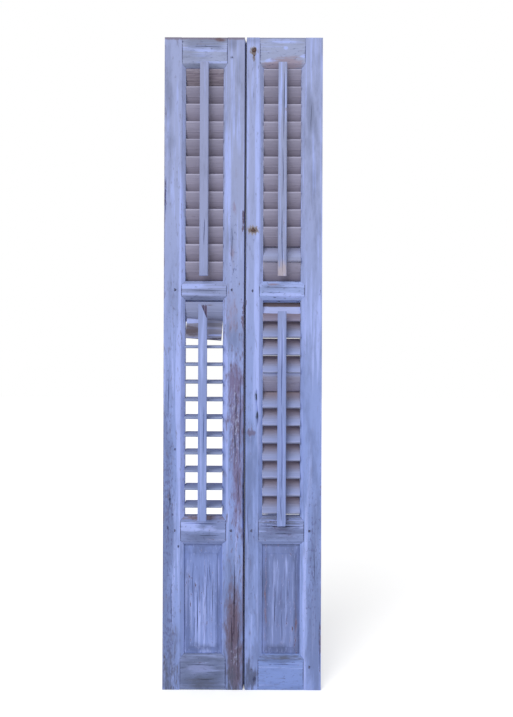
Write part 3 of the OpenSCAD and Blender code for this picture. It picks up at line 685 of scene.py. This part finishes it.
def bared_bar_top():
    """The back of the lower left bar's top, bare and jagged where the front has split away."""
    low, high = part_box("lower_left_tilt_bar")
    bpy.ops.object.select_all(action="DESELECT")
    bpy.ops.mesh.primitive_grid_add(
        x_subdivisions=BARE_COLUMNS, y_subdivisions=BARE_ROWS, size=1, rotation=(math.radians(90), 0, 0),
        location=((low[0] + high[0]) / 2, low[1] + BARE_BACK * MM, high[2] - (BARE_H / 2 + BARE_JAG) * MM))
    piece = bpy.context.object
    piece.name = "lower_left_bar_bared_top"
    piece.scale = (BARE_W * MM, BARE_H * MM, 1)
    bpy.ops.object.transform_apply(location=True, rotation=True, scale=True)
    top = max(v.co.z for v in piece.data.vertices)
    for v in piece.data.vertices:
        v.co.y += BARE_RIPPLE * MM * math.sin(v.co.x / MM * BARE_RIPPLE_TURN)
        if v.co.z > top - SAME_PLACE * MM:
            v.co.z += BARE_JAG * MM * math.sin(v.co.x / MM * BARE_JAG_TURN)
    wall = piece.modifiers.new("wall", "SOLIDIFY")
    wall.thickness = BARE_T * MM
    wall.offset = -1
    bpy.ops.object.modifier_apply(modifier=wall.name)
    bpy.ops.object.shade_flat()
    give_paint(piece, bared_bar_wood)
    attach(piece, "lower_left_tilt_bar")


bared_bar_top()

# Rotten top of the right lock rail: x, z, length, width and how far behind the front of the rail
ROT_FIBRES = [
    (131, 587, 126, 5.0, 12), (131, 583.5, 127, 4.8, 9.2), (131, 580, 150, 4.6, 6.4),
    (126, 575.5, 146, 4.4, 3.4), (136, 570.5, 150, 4.2, 0.6), (120, 565.5, 128, 4.6, 0),
    (148, 560.5, 104, 4.0, 0), (112, 556, 90, 3.6, 0), (150, 546.5, 100, 4.0, 0.2),
]
ROT_FIBRE_DEPTH = 1.6


def rotten_rail_edge():
    """Loose wavy fibres along the top of the right lock rail."""
    for number, (x, z, length, width, behind) in enumerate(ROT_FIBRES):
        piece = lens(number, x, z, length, width, ROT_FIBRE_DEPTH, FRONT_Y + behind, "X")
        piece.name = f"rotten_fibre_{number + 1}"
        bpy.ops.object.shade_smooth()
        give_paint(piece, rot_wood)
        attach(piece, "right_leaf")


rotten_rail_edge()

# Rusted stubs of the lost bolt's screws: x, z and radius
RUST_STUBS = [(35, 2158, 5.5), (33, 1550, 5.0), (36, 2140, 2.6), (41, 1548, 2.4)]
# How lumpy a stub is, as a share of its radius, and how flat it lies
RUST_LUMPS, RUST_FLATNESS = 0.14, (1, 0.42, 0.9)


def rust_stub(number, x, z, radius):
    """A lump of rust where a screw of the lost bolt has snapped off."""
    bpy.ops.object.select_all(action="DESELECT")
    bpy.ops.mesh.primitive_ico_sphere_add(subdivisions=3, radius=radius * MM)
    piece = bpy.context.object
    piece.name = f"rust_stub_{number + 1}"
    bpy.ops.object.mode_set(mode="EDIT")
    bpy.ops.mesh.select_all(action="SELECT")
    bpy.ops.transform.vertex_random(offset=RUST_LUMPS * radius * MM, seed=number)
    bpy.ops.transform.resize(value=RUST_FLATNESS)
    bpy.ops.transform.translate(value=(x * MM, FRONT_Y * MM, z * MM))
    bpy.ops.object.mode_set(mode="OBJECT")
    bpy.ops.object.shade_smooth()
    give_paint(piece, iron)
    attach(piece, "right_leaf")


for number, row in enumerate(RUST_STUBS):
    rust_stub(number, *row)

# Slats without a joint: pivot height, the piece's name and its paint
FIXED_SLATS = {
    "left": [
        (pivot_z(UPPER_FIRST_Z, 1), "upper_left_slat_01_fixed", bare_slat_wood),
        (pivot_z(UPPER_FIRST_Z, 11), "upper_left_slat_11_fixed", upper_slat_paint),
        (pivot_z(UPPER_FIRST_Z, 12), "upper_left_slat_12_fixed", upper_slat_paint),
        (pivot_z(LOWER_FIRST_Z, 1), "lower_left_slat_01_fixed", lower_left_1_paint),
        (FALLEN_SLAT_Z, "lower_left_slat_02_fallen", fallen_slat_paint)],
    "right": [
        (pivot_z(UPPER_FIRST_Z, 1), "upper_right_slat_01_fixed", upper_slat_paint),
        (pivot_z(UPPER_FIRST_Z, 11), "upper_right_slat_11_turned", upper_right_11_paint),
        (pivot_z(UPPER_FIRST_Z, 12), "upper_right_slat_12_fixed", upper_slat_paint),
        (pivot_z(LOWER_FIRST_Z, 1), "lower_right_slat_01_fixed", lower_right_1_paint),
        (pivot_z(LOWER_FIRST_Z, 5), "lower_right_slat_05_turned", lower_right_5_paint),
        (pivot_z(LOWER_FIRST_Z, 12), "lower_right_slat_12_fixed", lower_right_slat_paint)],
}


def fixed_slat_pieces(side):
    """The fixed slats of a leaf as pieces of their own, each with its own paint."""
    node_name = side + "_stuck_slats"
    merged_copy(node_name, side + "_fixed_slats")
    bpy.ops.object.mode_set(mode="EDIT")
    bpy.ops.mesh.select_all(action="SELECT")
    bpy.ops.mesh.separate(type="LOOSE")
    bpy.ops.object.mode_set(mode="OBJECT")
    for piece in list(bpy.context.selected_objects):
        heights = [v.co.z for v in piece.data.vertices]
        middle = (min(heights) + max(heights)) / 2 / MM
        _, name, paint = min(FIXED_SLATS[side], key=lambda row: abs(row[0] - middle))
        piece.name = name
        give_paint(piece, paint)
        only(piece)
        bpy.ops.object.shade_flat()
        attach(piece, side + "_leaf")
        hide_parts(node_name)


for side in ("left", "right"):
    fixed_slat_pieces(side)

# Pegs through the tenons: side, x and height
PEGS = [
    ("left", -40, 2133), ("left", -37, 1348), ("left", -37, 536), ("left", -230, 1348), ("left", -229, 536),
    ("right", 34, 1345), ("right", 32, 536), ("right", 226, 536), ("right", 227, 78), ("right", 32, 69),
]
PEG_R, PEG_L, PEG_PROUD, PEG_SIDES = 5.4, 7, 0.5, 14
# Each peg is turned this many radians from the one before
PEG_TURN = 0.7
# Its end: rim, depth of the dish, ring inside the dish, shift of the split core, and the edge's rounding
PEG_RIM, PEG_DISH, PEG_RING, PEG_CORE, PEG_EDGE = 1.2, 0.9, 1.6, (0.6, -0.5, 0.4), 0.5
PEG_SMOOTH_ANGLE = 40
# A face whose normal has less than this along Y looks into the room
FRONT_FACING = -0.9


def peg(number, side, x, z):
    """A peg's end: a whittled dowel with a dished, split face."""
    bpy.ops.object.select_all(action="DESELECT")
    bpy.ops.mesh.primitive_cylinder_add(
        vertices=PEG_SIDES, radius=PEG_R * MM, depth=PEG_L * MM,
        rotation=(math.radians(90), 0, number * PEG_TURN),
        location=(x * MM, (FRONT_Y + PEG_L / 2 - PEG_PROUD) * MM, z * MM))
    piece = bpy.context.object
    piece.name = f"{side}_peg_{number + 1:02d}"
    bpy.ops.object.transform_apply(location=True, rotation=True, scale=True)
    bpy.ops.object.mode_set(mode="EDIT")
    bpy.ops.mesh.select_all(action="DESELECT")
    bpy.ops.object.mode_set(mode="OBJECT")
    for face in piece.data.polygons:
        face.select = face.normal.y < FRONT_FACING
    bpy.ops.object.mode_set(mode="EDIT")
    bpy.ops.mesh.inset(thickness=PEG_RIM * MM)
    bpy.ops.transform.translate(value=(0, PEG_DISH * MM, 0))
    bpy.ops.mesh.inset(thickness=PEG_RING * MM)
    bpy.ops.transform.translate(value=[shift * MM for shift in PEG_CORE])
    bpy.ops.object.mode_set(mode="OBJECT")
    worn = piece.modifiers.new("worn_end", "BEVEL")
    worn.width = PEG_EDGE * MM
    worn.segments = 2
    bpy.ops.object.modifier_apply(modifier=worn.name)
    bpy.ops.object.shade_smooth_by_angle(angle=math.radians(PEG_SMOOTH_ANGLE))
    give_paint(piece, peg_wood)
    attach(piece, side + "_leaf")


for number, (side, x, z) in enumerate(PEGS):
    peg(number, side, x, z)

# Floor: metres, and how much it glows to the camera so that it is as white as what is beyond it
FLOOR_SIZE, FLOOR_Z = 30, -0.0005
FLOOR_WHITE, FLOOR_GLOW = "#fbfbfb", 0.32
# Light: the room's strength on the shutter and as it is seen, and the lamp's strength, breadth and direction
ROOM_LIGHT, ROOM_SEEN, ROOM_WHITE = 0.56, 1.0, "#ffffff"
LAMP_LIGHT, LAMP_BREADTH, LAMP_WAY = 1.72, 40, (0.45, 0.8, -0.6)
# Camera: half the picture's height and the focal length in pixels, the place in metres, the turns in degrees
HALF_PICTURE_H, FOCAL_LENGTH = 358.5, 594
CAMERA_AT = (0.0485, -2.0213, 1.1131)
CAMERA_UP, CAMERA_ROLL, CAMERA_LEFT = 0.111, -0.21, 0.055


def pale_floor():
    """A white floor that shows the shutter's shadow and no edge against the white beyond."""
    bpy.ops.object.select_all(action="DESELECT")
    bpy.ops.mesh.primitive_plane_add(size=FLOOR_SIZE, location=(0, 0, FLOOR_Z))
    floor = bpy.context.object
    floor.name = "floor"
    material, tree, _ = new_material("white_floor")
    matt = add(tree, "BsdfDiffuse", {"Color": linear(FLOOR_WHITE)})
    seen = add(tree, "LightPath", {}, out="Is Camera Ray")
    strength = add(tree, "Math", {0: seen, 1: FLOOR_GLOW}, operation="MULTIPLY")
    glow = add(tree, "Emission", {"Strength": strength})
    both = add(tree, "AddShader", {0: matt, 1: glow})
    add(tree, "OutputMaterial", {"Surface": both}, out=None)
    floor.data.materials.append(material)


def soft_light():
    """Even white light from all round, and a broad lamp in front, above and to the left."""
    world = bpy.data.worlds.new("white_room")
    bpy.context.scene.world = world
    world.use_nodes = True
    tree = world.node_tree
    tree.nodes.clear()
    direct = add(tree, "LightPath", {}, out="Is Camera Ray")
    glossy = add(tree, "LightPath", {}, out="Is Glossy Ray")
    clear = add(tree, "LightPath", {}, out="Is Transmission Ray")
    seen = add(tree, "Math", {0: direct, 1: glossy}, operation="MAXIMUM")
    seen = add(tree, "Math", {0: seen, 1: clear}, operation="MAXIMUM")
    strength = add(tree, "MapRange", {"Value": seen, "To Min": ROOM_LIGHT, "To Max": ROOM_SEEN})
    sky = add(tree, "Background", {"Color": linear(ROOM_WHITE), "Strength": strength})
    add(tree, "OutputWorld", {"Surface": sky}, out=None)
    lamp = bpy.data.lights.new("broad_lamp", "SUN")
    lamp.energy = LAMP_LIGHT
    lamp.angle = math.radians(LAMP_BREADTH)
    holder = bpy.data.objects.new("broad_lamp", lamp)
    holder.rotation_euler = Vector(LAMP_WAY).to_track_quat("-Z", "Y").to_euler()
    bpy.context.scene.collection.objects.link(holder)


def room_camera():
    """The camera, square on to the closed leaves, a little right of their middle."""
    data = bpy.data.cameras.new("camera")
    data.sensor_fit = "VERTICAL"
    data.angle = 2 * math.atan(HALF_PICTURE_H / FOCAL_LENGTH)
    camera = bpy.data.objects.new("camera", data)
    camera.location = CAMERA_AT
    camera.rotation_euler = [math.radians(turn) for turn in (90 + CAMERA_UP, CAMERA_ROLL, CAMERA_LEFT)]
    bpy.context.scene.collection.objects.link(camera)
    bpy.context.scene.camera = camera


pale_floor()
soft_light()
room_camera()
bpy.context.scene.view_settings.view_transform = "Standard"
